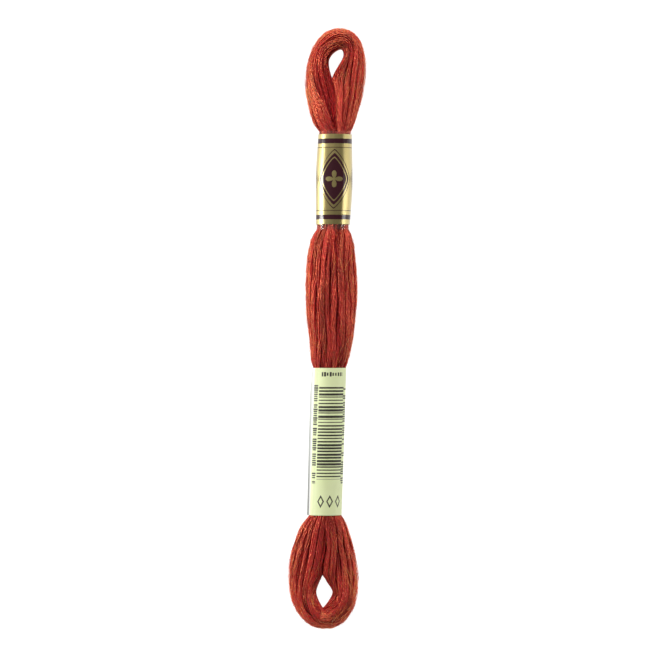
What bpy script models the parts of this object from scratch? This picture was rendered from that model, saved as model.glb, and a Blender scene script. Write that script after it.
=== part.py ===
"""A skein of embroidery floss, lying flat on a surface.

One long floss is wound into a flat ring. Two bands squeeze the ring's legs together, so
that only an eye stays open at each end. Units are metres and +Z is up. The skein lies
along Y with its eyes facing up, and the origin is on the surface under its middle.
"""
import math
import random

import bmesh
import bpy

MM = 0.001

# Bands: a printed film sleeve above the middle and a long paper label below it. All
# sizes in this file are millimetres, and the meshes are written in metres.
FILM_ENDS = (53.6, 26.9)          # where the band starts and ends along Y
LABEL_ENDS = (-10.7, -50.7)
BAND_WALL = 0.4
BAND_GAP = 0.35                   # between the floss and the inside of a band
BAND_SIDES = 48
BAND_STEP = 8.0                   # between sections under a band

# The hank's sections from the upper loop down. Each row is a place along the skein, the
# left outline, the seam between the legs, the right outline, the underside and the upper
# side. An underside below zero is pressed flat by the surface. The crease says how far
# the legs part: 0 is one oval, 1 is two ovals that only touch.
COLUMNS = ("y", "left", "seam", "right", "under", "over", "crease")
SECTIONS = (
    (67.9, -5.8, 1.4, 10.5, -0.45, 8.2, 0.80),
    (64.0, -5.7, 1.9, 9.9, -0.30, 8.5, 0.62),
    (60.4, -4.9, 2.1, 8.9, 0.05, 8.8, 0.50),
    (57.0, -4.2, 2.1, 8.0, 0.45, 9.0, 0.35),
    (54.4, -3.1, 2.2, 7.3, 0.80, 9.0, 0.20),
    (53.9, -1.7, 2.2, 6.1, 1.35, 8.45, 0.00),
    (40.2, -2.4, 2.0, 6.3, 1.15, 8.75, 0.00),
    (26.6, -2.4, 1.6, 5.5, 1.35, 8.45, 0.00),
    (26.1, -3.7, 1.6, 6.6, 0.85, 9.1, 0.20),
    (24.9, -4.3, 1.5, 7.0, 0.60, 9.4, 0.25),
    (21.6, -4.9, 1.3, 7.4, 0.15, 9.8, 0.30),
    (16.0, -5.6, 1.2, 8.0, -0.45, 10.1, 0.34),
    (10.0, -5.7, 1.2, 8.2, -0.50, 10.2, 0.34),
    (4.0, -5.6, 1.1, 7.8, -0.50, 10.1, 0.34),
    (-1.5, -4.9, 1.1, 7.2, -0.10, 9.8, 0.30),
    (-6.5, -4.5, 0.9, 6.3, 0.40, 9.4, 0.25),
    (-9.9, -4.3, 0.7, 5.5, 0.90, 9.1, 0.20),
    (-10.4, -3.3, 0.7, 4.7, 1.40, 8.5, 0.00),
    (-30.7, -3.9, 0.1, 4.1, 1.30, 8.5, 0.00),
    (-51.0, -4.4, -0.5, 3.4, 1.40, 8.4, 0.00),
    (-51.5, -6.0, -0.6, 4.7, 0.85, 8.9, 0.20),
    (-54.5, -7.5, -0.9, 5.7, 0.25, 8.9, 0.40),
    (-58.5, -9.0, -1.1, 6.9, -0.20, 8.7, 0.52),
    (-62.5, -10.1, -1.3, 7.8, -0.40, 8.5, 0.64),
    (-67.0, -10.6, -1.3, 8.5, -0.45, 8.3, 0.80),
)
OPEN_STEP = 2.4                   # between sections where the floss shows

# Loops beyond the first and last row: the tip, how square the outline is, where 2 is an
# ellipse, and the eye that stays open, from the row's seam to its far end. An eye of
# fullness 1 is a teardrop, and a smaller number moves its widest place to its middle.
UPPER_LOOP = {"tip": (3.4, 81.6), "squareness": 2.35, "under": -0.45, "over": 8.2,
              "eye_far": (3.7, 76.2), "eye_width": 2.9, "eye_fullness": 1.0}
LOWER_LOOP = {"tip": (-0.5, -81.6), "squareness": 2.25, "under": -0.45, "over": 8.0,
              "eye_far": (-1.1, -75.9), "eye_width": 3.3, "eye_fullness": 0.7}
LOOP_STEPS = 12
LOOP_TWIST = 38.0                 # degrees by which the floss rolls over in a loop

# Ribs: passes of floss side by side, so ridges and grooves take turns round a leg.
OUTER_POINTS = 22                 # round the outer half of a leg
INNER_POINTS = 16                 # round the half that faces the other leg
GROOVE = 0.42                     # depth between two passes
BAND_GROOVE = 0.15                # share of that depth left under a band
LOOSE_REACH = 4.0                 # distance past a band where the floss is loose again
GROOVE_SPREAD = (0.55, 1.25)      # shallowest and deepest groove, as shares of GROOVE
GROOVE_WAVES = (23.0, 61.0)       # lengths over which a groove fades and returns
GROOVE_FADE = 0.35
PRESS_REACH = 1.2                 # height over the surface where grooves are full again
DRIFT = 17.0                      # degrees by which the passes wander round a leg
DRIFT_WAVE = 44.0
SEED = 7

FLOSS_COLOUR = (0.456, 0.058, 0.014, 1.0)
FILM_COLOUR = (0.60, 0.46, 0.13, 1.0)
LABEL_COLOUR = (0.76, 0.85, 0.43, 1.0)


def clear_scene():
    for thing in list(bpy.data.objects):
        bpy.data.objects.remove(thing, do_unlink=True)


def make_material(name, colour, roughness, metallic=0.0):
    material = bpy.data.materials.new(name)
    material.use_nodes = True
    shader = material.node_tree.nodes["Principled BSDF"]
    shader.inputs["Base Color"].default_value = colour
    shader.inputs["Roughness"].default_value = roughness
    shader.inputs["Metallic"].default_value = metallic
    return material


def add_object(name, shape, collection, material):
    """Turn a finished bmesh in millimetres into a named object in metres."""
    bmesh.ops.scale(shape, vec=(MM, MM, MM), verts=shape.verts)
    mesh = bpy.data.meshes.new(name)
    shape.to_mesh(mesh)
    shape.free()
    mesh.materials.append(material)
    piece = bpy.data.objects.new(name, mesh)
    collection.objects.link(piece)
    return piece


def smooth_value(places, values, place):
    """Read a smooth curve through a table's values, one that never swings past them."""
    rises = [(values[k + 1] - values[k]) / (places[k + 1] - places[k])
             for k in range(len(values) - 1)]
    grades = [0.0 if a * b <= 0.0 else 2.0 * a * b / (a + b) for a, b in zip(rises, rises[1:])]
    grades = [rises[0]] + grades + [rises[-1]]
    last = len(places) - 2
    k = next((n for n in range(last) if place > places[n + 1]), last)
    span = places[k + 1] - places[k]
    t = (place - places[k]) / span
    return ((1 + 2 * t) * (1 - t) ** 2 * values[k] + t * (1 - t) ** 2 * span * grades[k]
            + t * t * (3 - 2 * t) * values[k + 1] + t * t * (t - 1) * span * grades[k + 1])


def section_at(y):
    """The hank's section at one place along the skein."""
    table = dict(zip(COLUMNS, zip(*SECTIONS)))
    return {name: smooth_value(table["y"], table[name], y) for name in COLUMNS[1:]}


def leg_places():
    """Places of the sections along a leg, from the upper loop down."""
    places = [SECTIONS[0][0]]
    for upper, lower in zip(SECTIONS, SECTIONS[1:]):
        banded = upper[-1] == 0.0 and lower[-1] == 0.0
        step = BAND_STEP if banded else OPEN_STEP
        count = max(1, round((upper[0] - lower[0]) / step))
        places += [upper[0] + (lower[0] - upper[0]) * n / count for n in range(1, count + 1)]
    return places


def looseness(y):
    """How deep the grooves are here: shallow under a band, full a little way past it."""
    past = min(max(y - top, bottom - y, 0.0) for top, bottom in (FILM_ENDS, LABEL_ENDS))
    share = min(past / LOOSE_REACH, 1.0)
    return BAND_GROOVE + (1.0 - BAND_GROOVE) * share * share * (3 - 2 * share)


def leg_station(side, y):
    """One leg's section: from the seam out to the left or right outline."""
    row = section_at(y)
    return {"inner": (row["seam"], y), "outer": (row[side], y), "under": row["under"],
            "over": row["over"], "crease": row["crease"], "loose": looseness(y),
            "twist": 0.0, "pressed": True, "rising": side == "left"}


def loop_stations(loop, base_y, start_side):
    """Sections round a loop, from the leg on the start side to the other leg."""
    base = section_at(base_y)
    middle = (base["left"] + base["right"]) / 2
    half = (base["right"] - base["left"]) / 2
    power = 2.0 / loop["squareness"]
    fullness = loop["eye_fullness"]
    widest = (fullness / (1.0 + fullness)) ** (fullness / 2) / math.sqrt(1.0 + fullness)
    stations = []
    for step in range(1, LOOP_STEPS):
        turn = math.pi * step / LOOP_STEPS
        side = math.cos(turn) * (1.0 if start_side == "right" else -1.0)
        out = math.sin(turn)
        spread = math.copysign(abs(side) ** power, side)
        reach = out ** power
        outer = (middle + half * spread + (loop["tip"][0] - middle) * reach,
                 base_y + (loop["tip"][1] - base_y) * reach)
        opening = abs(side) * out ** fullness / widest * loop["eye_width"] / 2
        inner = (base["seam"] + (loop["eye_far"][0] - base["seam"]) * out * out
                 + math.copysign(opening, side),
                 base_y + (loop["eye_far"][1] - base_y) * out)
        stations.append({
            "inner": inner, "outer": outer,
            "under": base["under"] + (loop["under"] - base["under"]) * out,
            "over": base["over"] + (loop["over"] - base["over"]) * out,
            "crease": 1.0, "loose": 1.0, "twist": math.radians(LOOP_TWIST) * out * out,
            "pressed": False, "rising": True})
    return stations


def ring_of_stations():
    """All sections, once round the ring: right leg, lower loop, left leg, upper loop."""
    places = leg_places()
    ring = [leg_station("right", y) for y in places]
    ring += loop_stations(LOWER_LOOP, places[-1], "right")
    ring += [leg_station("left", y) for y in reversed(places)]
    ring += loop_stations(UPPER_LOOP, places[0], "left")
    return ring


def middle_of(station):
    return [(a + b) / 2 for a, b in zip(station["inner"], station["outer"])]


def point_angles():
    """Angles round a leg: closer together on the half that shows from outside."""
    outer = [-math.pi / 2 + math.pi * n / OUTER_POINTS for n in range(OUTER_POINTS)]
    inner = [math.pi / 2 + math.pi * n / INNER_POINTS for n in range(INNER_POINTS)]
    return outer + inner


def groove_styles(count):
    """A depth, a wavelength and a phase for each point round a leg."""
    dice = random.Random(SEED)
    styles = []
    for number in range(count):
        share = dice.uniform(*GROOVE_SPREAD) if number % 2 else 0.0
        styles.append((share, dice.uniform(*GROOVE_WAVES), dice.uniform(0.0, math.tau)))
    return styles


def section_points(station, along, styles):
    """The points round one section, and whether each lies on the seam."""
    width = math.dist(station["inner"], station["outer"])
    half_height = (station["over"] - station["under"]) / 2
    level = (station["over"] + station["under"]) / 2
    crease = station["crease"]
    middle = crease / (1.0 + crease)
    wander = math.radians(DRIFT) * math.sin(math.tau * along / DRIFT_WAVE)
    points = []
    for angle, (share, wave, phase) in zip(point_angles(), styles):
        if math.cos(angle) > 0.0:
            angle += wander * math.cos(angle) ** 2
        angle += station["twist"]
        across = (math.cos(angle) + crease) / (1.0 + crease)
        up = math.sin(angle)
        on_seam = station["pressed"] and across < 1e-6
        if on_seam:
            across = 0.0
        else:
            fade = 1.0 + GROOVE_FADE * math.sin(math.tau * along / wave + phase)
            clear = min(max(level + half_height * up, 0.0) / PRESS_REACH, 1.0)
            depth = GROOVE * share * fade * clear * station["loose"]
            size = math.hypot((across - middle) * width, up * half_height)
            keep = 1.0 - depth / size
            across = middle + (across - middle) * keep
            up *= keep
        x, y = (a + (b - a) * across for a, b in zip(station["inner"], station["outer"]))
        points.append(((x, y, max(level + half_height * up, 0.0)), on_seam))
    return points


def build_hank(collection, material):
    """Loft the ring, then open the wall between the legs where they press together."""
    shape = bmesh.new()
    ring = ring_of_stations()
    styles = groove_styles(OUTER_POINTS + INNER_POINTS)
    rows = []
    along = 0.0
    for number, station in enumerate(ring):
        along += math.dist(middle_of(station), middle_of(ring[number - 1])) if number else 0.0
        rows.append([(shape.verts.new(place), on_seam)
                     for place, on_seam in section_points(station, along, styles)])
    for number, station in enumerate(ring):
        after = (number + 1) % len(ring)
        low, high = (rows[number], rows[after]) if station["rising"] else (rows[after], rows[number])
        for k in range(len(low)):
            n = (k + 1) % len(low)
            for corners in ((low[k], high[k], high[n]), (low[k], high[n], low[n])):
                if not all(on_seam for _, on_seam in corners):
                    shape.faces.new([vert for vert, _ in corners])
    loose = [vert for vert in shape.verts if not vert.link_faces]
    bmesh.ops.delete(shape, geom=loose, context="VERTS")
    bmesh.ops.remove_doubles(shape, verts=shape.verts, dist=0.001)
    bmesh.ops.recalc_face_normals(shape, faces=shape.faces)
    return add_object("floss_hank", shape, collection, material)


def build_band(name, ends, collection, material):
    """A thin sleeve that follows the hank's outline: a round tube, then its sections."""
    start, stop = ends
    places = [start] + [y for y in leg_places() if stop < y < start] + [stop]
    shape = bmesh.new()
    bmesh.ops.create_circle(shape, cap_ends=False, segments=BAND_SIDES, radius=1.0)
    for vert in shape.verts:
        vert.co = (vert.co.x, start, vert.co.y)
    edge_ring = shape.edges[:]
    for before, after in zip(places, places[1:]):
        grown = bmesh.ops.extrude_edge_only(shape, edges=edge_ring)["geom"]
        edge_ring = [part for part in grown if isinstance(part, bmesh.types.BMEdge)]
        verts = [part for part in grown if isinstance(part, bmesh.types.BMVert)]
        bmesh.ops.translate(shape, verts=verts, vec=(0.0, after - before, 0.0))
    for vert in shape.verts:
        row = section_at(vert.co.y)
        half_width = (row["right"] - row["left"]) / 2 + BAND_GAP + BAND_WALL
        half_height = (row["over"] - row["under"]) / 2 + BAND_GAP + BAND_WALL
        vert.co.x = (row["left"] + row["right"]) / 2 + half_width * vert.co.x
        vert.co.z = (row["under"] + row["over"]) / 2 + half_height * vert.co.z
    bmesh.ops.recalc_face_normals(shape, faces=shape.faces)
    piece = add_object(name, shape, collection, material)
    wall = piece.modifiers.new("wall", "SOLIDIFY")
    wall.thickness = BAND_WALL * MM
    wall.offset = -1.0
    wall.use_even_offset = True
    piece.data.shade_smooth()
    return piece


def main():
    clear_scene()
    skein = bpy.data.collections.new("floss_skein")
    bpy.context.scene.collection.children.link(skein)
    floss = make_material("mercerised_cotton_floss", FLOSS_COLOUR, 0.55)
    film = make_material("gold_printed_film", FILM_COLOUR, 0.25, metallic=0.8)
    paper = make_material("coated_label_paper", LABEL_COLOUR, 0.45)
    build_hank(skein, floss)
    build_band("film_band", FILM_ENDS, skein, film)
    build_band("paper_label", LABEL_ENDS, skein, paper)


main()
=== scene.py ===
# %% [markdown]
# # A skein of stranded embroidery floss
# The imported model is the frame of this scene: one long wound hank and two sleeves
# round it. It could be dressed by eye, piece by piece, but every piece here is worked
# out in the frame's own axes instead, so each lies where its solid lies. Sizes are
# written in millimetres and are multiplied by MM where they go into a mesh.

from functools import partial
from math import cos, pi, radians, sin

import bmesh
import bpy
import numpy as np
from mathutils import Matrix, Vector


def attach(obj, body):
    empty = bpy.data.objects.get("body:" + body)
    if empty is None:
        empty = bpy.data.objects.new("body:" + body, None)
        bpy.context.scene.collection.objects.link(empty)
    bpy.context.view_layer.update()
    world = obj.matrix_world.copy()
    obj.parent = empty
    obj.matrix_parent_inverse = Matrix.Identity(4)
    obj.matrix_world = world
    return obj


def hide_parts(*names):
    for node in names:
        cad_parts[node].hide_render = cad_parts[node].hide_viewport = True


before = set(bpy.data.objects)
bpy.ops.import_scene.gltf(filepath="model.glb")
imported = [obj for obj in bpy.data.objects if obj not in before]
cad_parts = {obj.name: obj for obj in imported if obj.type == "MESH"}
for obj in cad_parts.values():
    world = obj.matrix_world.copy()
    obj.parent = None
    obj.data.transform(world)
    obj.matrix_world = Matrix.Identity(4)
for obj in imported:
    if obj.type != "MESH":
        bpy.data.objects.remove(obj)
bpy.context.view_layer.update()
MM = 0.001

# %% [markdown]
# ## The camera
# The picture was taken from straight above, with the skein upright in it. A flat,
# orthographic view would do, but a long lens a metre away also keeps the slight
# perspective of a studio shot. The lens follows from the width that the picture shows.

# %% Set up the camera
VIEW_WIDTH = 178.16          # mm across the picture at the skein's mid height
VIEW_CENTRE = (0.14, 0.27)   # mm, the picture's middle in the frame
MID_HEIGHT = 5.1             # mm, half the skein's height
CAMERA_DISTANCE = 1000.0     # mm above the skein's mid height
SENSOR = 36.0                # mm
SEEN_TO = 10.0               # m from the camera, well past the light table

camera = bpy.data.cameras.new("camera")
camera.sensor_width = SENSOR
camera.lens = SENSOR * CAMERA_DISTANCE / VIEW_WIDTH
camera.clip_end = SEEN_TO
camera_object = bpy.data.objects.new("camera", camera)
camera_object.location = Vector((*VIEW_CENTRE, MID_HEIGHT + CAMERA_DISTANCE)) * MM
bpy.context.collection.objects.link(camera_object)
bpy.context.scene.camera = camera_object
print("lens: %.1f mm" % camera.lens)

# %% [markdown]
# ## Small helpers
# Colours are picked as sRGB hex values, because that is how they are read off a
# picture, and Cycles wants linear ones. Nodes are added by one function that takes the
# node's settings and what goes into its sockets, which keeps each material readable:
# a tuple fills the sockets in their order, a dictionary fills them by name or number.


# %% Colour and node helpers
MATH = "ShaderNodeMath"
RANGE = "ShaderNodeMapRange"     # takes a value, from low and high, to low and high
NOISE = "ShaderNodeTexNoise"
MIX = "ShaderNodeMix"            # of colours: 0 is the share, 6 and 7 the colours
SHADER = "ShaderNodeBsdfPrincipled"


def linear(hex_colour):
    """An sRGB hex colour as the linear RGBA that sockets take."""
    channels = [int(hex_colour[place:place + 2], 16) / 255 for place in (1, 3, 5)]
    return tuple(c / 12.92 if c <= 0.04045 else ((c + 0.055) / 1.055) ** 2.4
                 for c in channels) + (1.0,)


def add_node(tree, kind, inputs=(), **settings):
    """Adds a node; an input is a value, a node (its first output) or a socket."""
    node = tree.nodes.new(kind)
    for name, value in settings.items():
        setattr(node, name, value)
    sockets = inputs if isinstance(inputs, dict) else dict(enumerate(inputs))
    for name, value in sockets.items():
        if isinstance(value, bpy.types.Node):
            value = next(socket for socket in value.outputs if socket.enabled)
        if isinstance(value, bpy.types.NodeSocket):
            tree.links.new(value, node.inputs[name])
        else:
            node.inputs[name].default_value = value
    return node


print("a mid grey in linear light: %.3f" % linear("#808080")[0])

# %% [markdown]
# Each material has a tree of its own, so it comes with its own add_node. A finished piece
# is an object whose mesh is already in its place. It rides on the skein's one body and
# stands for a solid of the frame, which it hides.


# %% Material and piece helpers
def new_material(name):
    """A material with an empty node tree, and add_node for that tree."""
    material = bpy.data.materials.new(name)
    material.use_nodes = True
    material.node_tree.nodes.clear()
    return material, partial(add_node, material.node_tree)


def uv_place(node):
    """The piece's UV map, and its two ways, which are in mm or in turns."""
    uv_map = node("ShaderNodeUVMap", uv_map="UVMap")
    ways = node("ShaderNodeSeparateXYZ", (uv_map,)).outputs
    return uv_map, ways[0], ways[1]


def add_piece(name, mesh, node, slot, *materials):
    """Links a mesh that is already in metres, rides it on the body and hides the solid it
    stands for; slot is not used.
    """
    piece = bpy.data.objects.new(name, mesh)
    bpy.context.collection.objects.link(piece)
    for material in materials:
        mesh.materials.append(material)
    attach(piece, "root")
    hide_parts(node)
    return piece


# %% [markdown]
# ## How the skein's section changes along its length
# Pinched by the sleeves and slack between them, the hank has no single section. It
# could be sculpted, but a short table of rows says the same: for each place along the
# skein, its left edge, the seam where its two legs press together, its right edge, its
# underside, its top and how far the two legs stand apart as two humps. The two loops
# are told by their tips and by the eye that each leaves open.

# %% Rows of the skein and its sleeves
# columns: y, left, seam, right, under, over, crease (mm; crease 0 is one oval)
OPEN_ROWS = (
    (67.9, -5.8, 1.4, 10.5, -0.45, 8.2, 0.80),
    (64.0, -5.7, 1.9, 9.9, -0.30, 8.5, 0.62),
    (60.4, -4.9, 2.1, 8.9, 0.05, 8.8, 0.50),
    (57.0, -4.2, 2.1, 8.0, 0.45, 9.0, 0.35),
    (54.4, -3.1, 2.2, 7.3, 0.80, 9.0, 0.20),
    (26.1, -3.7, 1.6, 6.6, 0.85, 9.1, 0.20),
    (24.9, -4.3, 1.5, 7.0, 0.60, 9.4, 0.25),
    (21.6, -4.9, 1.3, 7.4, 0.15, 9.8, 0.30),
    (16.0, -5.6, 1.2, 8.0, -0.45, 10.1, 0.34),
    (10.0, -5.7, 1.2, 8.2, -0.50, 10.2, 0.34),
    (4.0, -5.6, 1.1, 7.8, -0.50, 10.1, 0.34),
    (-1.5, -4.9, 1.1, 7.2, -0.10, 9.8, 0.30),
    (-6.5, -4.5, 0.9, 6.3, 0.40, 9.4, 0.25),
    (-9.9, -4.3, 0.7, 5.5, 0.90, 9.1, 0.20),
    (-51.5, -6.0, -0.6, 4.7, 0.85, 8.9, 0.20),
    (-54.5, -7.5, -0.9, 5.7, 0.25, 8.9, 0.40),
    (-58.5, -9.0, -1.1, 6.9, -0.20, 8.7, 0.52),
    (-62.5, -10.1, -1.3, 7.8, -0.40, 8.5, 0.64),
    (-67.0, -10.6, -1.3, 8.5, -0.45, 8.3, 0.80),
)
# columns: y, left, seam, right, under, over of each sleeve's outside (mm)
FILM_ROWS = (
    (53.6, -2.45, 2.2, 6.85, 0.60, 9.20),
    (40.2, -3.15, 2.0, 7.05, 0.40, 9.50),
    (26.9, -3.15, 1.6, 6.25, 0.60, 9.20),
)
LABEL_ROWS = (
    (-10.7, -4.05, 0.7, 5.45, 0.65, 9.25),
    (-30.7, -4.65, 0.1, 4.85, 0.55, 9.25),
    (-50.7, -5.15, -0.5, 4.15, 0.65, 9.15),
)
UPPER_LOOP = {"tip": (3.4, 81.6), "squareness": 2.25, "under": -0.45, "over": 8.2,
              "eye_far": (3.7, 76.2), "eye_sides": (1.9, 2.0), "eye_widest": 0.68,
              "eye_tip": 0.5}
LOWER_LOOP = {"tip": (-0.5, -81.6), "squareness": 2.25, "under": -0.45, "over": 8.0,
              "eye_far": (-1.1, -76.3), "eye_sides": (1.8, 2.9), "eye_widest": 0.5,
              "eye_tip": 0.8}
LOOP_CREASE = 0.80
SLEEVE_CLEARANCE = 0.32      # mm between a sleeve's outside and the floss in it
print("open rows:", len(OPEN_ROWS), "sleeve rows:", len(FILM_ROWS + LABEL_ROWS))

# %% [markdown]
# A straight line from row to row would show as kinks, and an ordinary spline would
# swing past the rows. This one keeps between them: its slope at each row is the mean
# of the slopes on both sides, and level wherever they disagree. Inside a sleeve the
# floss keeps a little clear of the sleeve's outside.


# %% A smooth curve through the rows
def smooth_rows(rows, places):
    """Every column of a table at the given places, by a curve that keeps between rows."""
    table = np.array(sorted(rows))
    knots, values = table[:, 0], table[:, 1:]
    spans = np.diff(knots)[:, None]
    slopes = np.diff(values, axis=0) / spans
    tangents = np.vstack([slopes[:1], np.zeros_like(slopes[1:]), slopes[-1:]])
    product = slopes[:-1] * slopes[1:]
    total = slopes[:-1] + slopes[1:]
    tangents[1:-1] = np.where(product > 0, 2 * product / np.where(total == 0, 1, total), 0)
    places = np.clip(places, knots[0], knots[-1])
    index = np.clip(np.searchsorted(knots, places) - 1, 0, len(knots) - 2)
    t = ((places - knots[index]) / spans[index, 0])[:, None]
    low, high = values[index], values[index + 1]
    start, end = tangents[index] * spans[index], tangents[index + 1] * spans[index]
    return (low * (2 * t**3 - 3 * t**2 + 1) + start * (t**3 - 2 * t**2 + t)
            + high * (3 * t**2 - 2 * t**3) + end * (t**3 - t**2))


def floss_in_sleeve(row):
    """The row of the floss inside a sleeve whose outside is the given row."""
    y, left, seam, right, under, over = row
    room = SLEEVE_CLEARANCE
    return (y, left + room, seam, right - room, under + room, over - room, 0.0)


SKEIN_ROWS = OPEN_ROWS + tuple(floss_in_sleeve(row) for row in FILM_ROWS + LABEL_ROWS)
print("rows of the skein:", len(SKEIN_ROWS))

# %% [markdown]
# ## The way round the ring
# A skein is a ring: down the right leg, round the lower loop, up the left leg and round
# the upper loop. The turns could each be drawn as a curve, but then they would cut
# through each other. Instead the ring gets a few hundred stations. Each is an upright
# plane across the bundle, from its inner edge to its outer edge, and the turns are laid
# out in it later. The ring starts and ends in the middle of the label, which hides
# where one turn is led over to the next.

# %% Stations down the legs
OPEN_STEP = 1.3              # mm between stations where the floss shows
SLEEVE_STEP = 2.6            # mm between stations inside a sleeve
RING_START = -30.7           # mm, the middle of the label
LOOSE_REACH = 4.0            # mm past a sleeve's mouth where the floss is fully loose
SLEEVES = ((FILM_ROWS[0][0], FILM_ROWS[-1][0]), (LABEL_ROWS[0][0], LABEL_ROWS[-1][0]))
LOW_BASE, HIGH_BASE = OPEN_ROWS[-1][0], OPEN_ROWS[0][0]   # where the loops begin


def looseness(y):
    """0 inside a sleeve, growing to 1 within LOOSE_REACH of its mouths."""
    distance = min(max(y - top, bottom - y) for top, bottom in SLEEVES)
    return min(max(distance / LOOSE_REACH, 0.0), 1.0)


def leg_places(start, end):
    """Places along a leg, one at each sleeve's mouth, closer where the floss shows."""
    low, high = min(start, end), max(start, end)
    marks = [low, *sorted(y for sleeve in SLEEVES for y in sleeve if low < y < high), high]
    places = [low]
    for near, far in zip(marks, marks[1:]):
        step = OPEN_STEP if looseness((near + far) / 2) > 0 else SLEEVE_STEP
        places.extend(np.linspace(near, far, int(np.ceil((far - near) / step)) + 1)[1:])
    return np.array(places if end > start else places[::-1])


def leg_stations(start, end, right_leg):
    """Stations of a leg: inner x, y, outer x, y, under, over, crease, looseness."""
    places = leg_places(start, end)
    left, seam, right, under, over, crease = smooth_rows(SKEIN_ROWS, places).T
    outer = right if right_leg else left
    loose = np.array([looseness(y) for y in places])
    return np.column_stack([seam, places, outer, places, under, over, crease, loose])


print("stations of the left leg:", len(leg_places(LOW_BASE, HIGH_BASE)))

# %% [markdown]
# Round a loop the bundle's outer edge follows a rather square oval from one leg to the
# other, and its inner edge follows the eye. An eye isn't an oval: the floss leaves the
# seam in a point and closes over the far end in a round or a point, so its two edges
# rise and fall like a leaf.

# %% Stations round the loops
LOOP_STEPS = 38
BLEND = 4                    # how quickly the eye's rise hands over to its fall
TINY = 1e-6                  # keeps a share of nothing from being raised to a power


def eye_opening(loop, out, side):
    """How far the eye's edge stands from its middle line; out runs from 0 to 1."""
    rise = out / loop["eye_widest"]
    fall = (max(1 - out, TINY) / (1 - loop["eye_widest"])) ** loop["eye_tip"]
    width = loop["eye_sides"][1 if side > 0 else 0]
    return np.sign(side) * width * (2 / (rise**-BLEND + fall**-BLEND)) ** (1 / BLEND)


def loop_stations(loop, base_y, first_side):
    """Stations round a loop, from the leg on first_side (1 is right) to the other."""
    left, seam, right = smooth_rows(SKEIN_ROWS, np.array([base_y]))[0, :3]
    middle, half = (left + right) / 2, (right - left) / 2
    (tip_x, tip_y), (eye_x, eye_y) = loop["tip"], loop["eye_far"]
    power = 2 / loop["squareness"]
    rows = []
    for step in range(1, LOOP_STEPS):
        turn = pi * step / LOOP_STEPS
        side, out = first_side * cos(turn), sin(turn)
        spread, reach = np.sign(side) * abs(side) ** power, out ** power
        rows.append((
            seam + (eye_x - seam) * out ** 2 + eye_opening(loop, out, side),
            base_y + (eye_y - base_y) * out,
            middle + half * spread + (tip_x - middle) * reach,
            base_y + (tip_y - base_y) * reach,
            loop["under"], loop["over"], LOOP_CREASE, 1.0))
    return np.array(rows)


ring = np.vstack([
    leg_stations(RING_START, LOW_BASE, True), loop_stations(LOWER_LOOP, LOW_BASE, 1),
    leg_stations(LOW_BASE, HIGH_BASE, False), loop_stations(UPPER_LOOP, HIGH_BASE, -1),
    leg_stations(HIGH_BASE, RING_START, True)])
inner, outer = ring[:, 0:2], ring[:, 2:4]
under, over, crease, loose = ring[:, 4:].T
middles = (inner + outer) / 2
travel = np.concatenate([[0], np.cumsum(np.linalg.norm(np.diff(middles, axis=0), axis=1))])
STATIONS = len(ring)
print("stations: %d, ring %.0f mm long" % (STATIONS, travel[-1]))

# %% [markdown]
# ## Winding the floss
# The hank is eight metres of floss, wound in twenty-five turns, and each floss is six
# loosely laid strands. A ribbed skin with a bump would look like the hank from a step
# away, but the ridges, the dark hollows and the strands that wander across one another
# come from real strands, so every strand is laid. In the first station the flosses are
# dropped in at random and pushed apart until they fill the section, as they do in a
# real bundle. Each next station starts from the one before, a little turned and
# drifted, and is pushed apart again, so the strands never cut through one another.

# %% Sizes of the winding
TURNS = 25
STRANDS = 6
STRAND_RADIUS = 0.225        # mm, the room that a strand takes inside a sleeve
STRAND_SLACK = 0.90          # a strand's own radius, as a share of the room it takes
LOOSE_SWELL = 1.18           # how much thicker a strand is where nothing presses on it
FLOSS_PITCH = 26.0           # mm for one turn of the six strands about each other
WANDER = 0.11                # mm that a floss drifts sideways in a mm of its way
WANDER_WAVES = (26.0, 47.0)  # mm, how far it runs before it drifts back
STRAY = 0.10                 # the same for one strand within its floss
STRAY_WAVES = (6.0, 11.0)    # mm
FLOSS_ROOM = 0.5             # extra room between two loose flosses, in strands
COHESION = 0.24              # how firmly the strands of a floss are drawn together
SEAM_PRESS = 0.4             # a strand's middle to the seam, as a share of its radius
SEED = 11
print("floss in the hank: %.2f m" % (TURNS * travel[-1] * MM))

# %% [markdown]
# In two places the whole bundle turns over, where strands are seen to pass from the
# outer edge of a loop to its inner edge. And twice a few flosses lie across the rest,
# as happens when a hank is wound by hand. Both are told along the ring, from and to.

# %% Where the floss turns over and crosses
lower_tip = travel[np.argmin(outer[:, 1])]
upper_tip = travel[np.argmax(outer[:, 1])]
# from and to in mm of the ring, and degrees
TURN_OVERS = (
    (lower_tip - 24, lower_tip + 16, 50.0),
    (upper_tip - 36, upper_tip - 4, -50.0),
)
# from and to in mm of the ring, how many flosses, and from where to where across the
# leg, as shares of its width (0 is its inner edge, 1 its outer edge)
CROSSINGS = (
    (lower_tip - 21, lower_tip + 15, 5, 0.86, 0.30),
    (upper_tip - 31, upper_tip - 15, 4, 0.42, 0.94),
)
CROSSING_DEPTH = 0.5         # mm of a crossing floss's middle under the top
CROSSING_PULL = 0.6          # the share of its way that it is pulled in each station


def ease(share):
    """A share from 0 to 1 that starts and ends gently."""
    return share * share * (3 - 2 * share)


def turned_over(station):
    """Degrees that the bundle has turned over by this station."""
    total = 0.0
    for start, end, angle in TURN_OVERS:
        total += angle * ease(min(max((travel[station] - start) / (end - start), 0.0), 1.0))
    return total


print("turned over after the lower loop: %.0f degrees" % turned_over(STATIONS // 2))

# %% [markdown]
# The section of a leg is an oval, cut off flat where the other leg presses against it
# and where it lies on the table. How close two flosses lie follows from the section's
# area, as if each had its own six-sided cell in it.

# %% The section of a leg
AREA_STEPS = 61


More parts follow.
